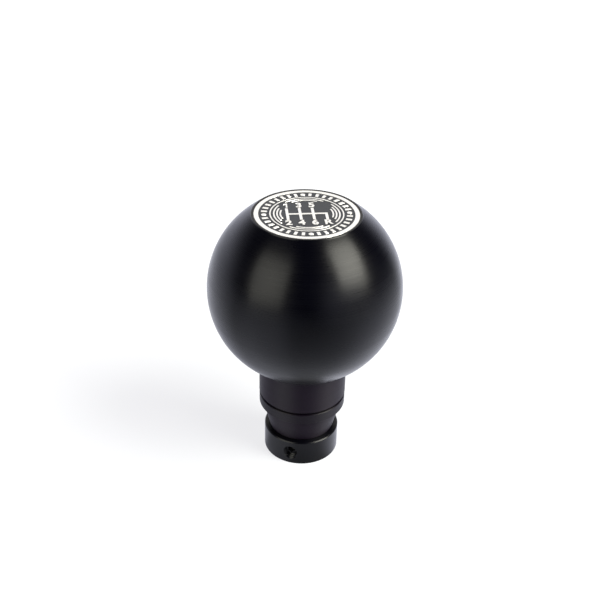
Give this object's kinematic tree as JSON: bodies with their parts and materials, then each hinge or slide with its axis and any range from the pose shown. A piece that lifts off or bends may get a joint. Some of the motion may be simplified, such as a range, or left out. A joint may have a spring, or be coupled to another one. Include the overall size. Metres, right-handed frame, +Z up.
{
  "type": "gear shift knob",
  "caption": "Ball shaped gear shift knob with a gate badge on its flat top, a grooved neck for the gaiter and a clamp collar for a plain round lever.",
  "frame": {"origin": "centre of the clamp collar's foot, the lowest face of the knob, on the axis of the lever bore", "axes": "+Z up along the lever bore, towards the ball; +Y towards the top of the shift gate on the badge, so the badge reads from -Y; +X to the right of the badge"},
  "size_m": [0.05, 0.05, 0.0717],
  "materials": {
    "ball_black": "satin black anodised, finely turned",
    "badge_silver": "satin silver with dark etched fields",
    "neck_black": "satin black anodised",
    "ring_black": "satin black anodised",
    "collar_black": "bright black anodised",
    "screw_black": "black oxide"
  },
  "bodies": {
    "knob": {"knob_ball": "ball_black", "badge": "badge_silver", "neck_core": "neck_black", "boot_ring": "ring_black", "clamp_collar": "collar_black"},
    "screw_1": {"set_screw_1": "screw_black"},
    "screw_2": {"set_screw_2": "screw_black"},
    "screw_3": {"set_screw_3": "screw_black"}
  },
  "joints": [
    {"name": "screw_1_travel", "type": "slide", "parent": "knob", "child": "screw_1", "axis": [0.3827, 0.9239, 0], "range_m": [-0.0015, 0.0007]},
    {"name": "screw_2_travel", "type": "slide", "parent": "knob", "child": "screw_2", "axis": [-0.9914, -0.1305, 0], "range_m": [-0.0015, 0.0007]},
    {"name": "screw_3_travel", "type": "slide", "parent": "knob", "child": "screw_3", "axis": [0.6088, -0.7934, 0], "range_m": [-0.0015, 0.0007]}
  ]
}
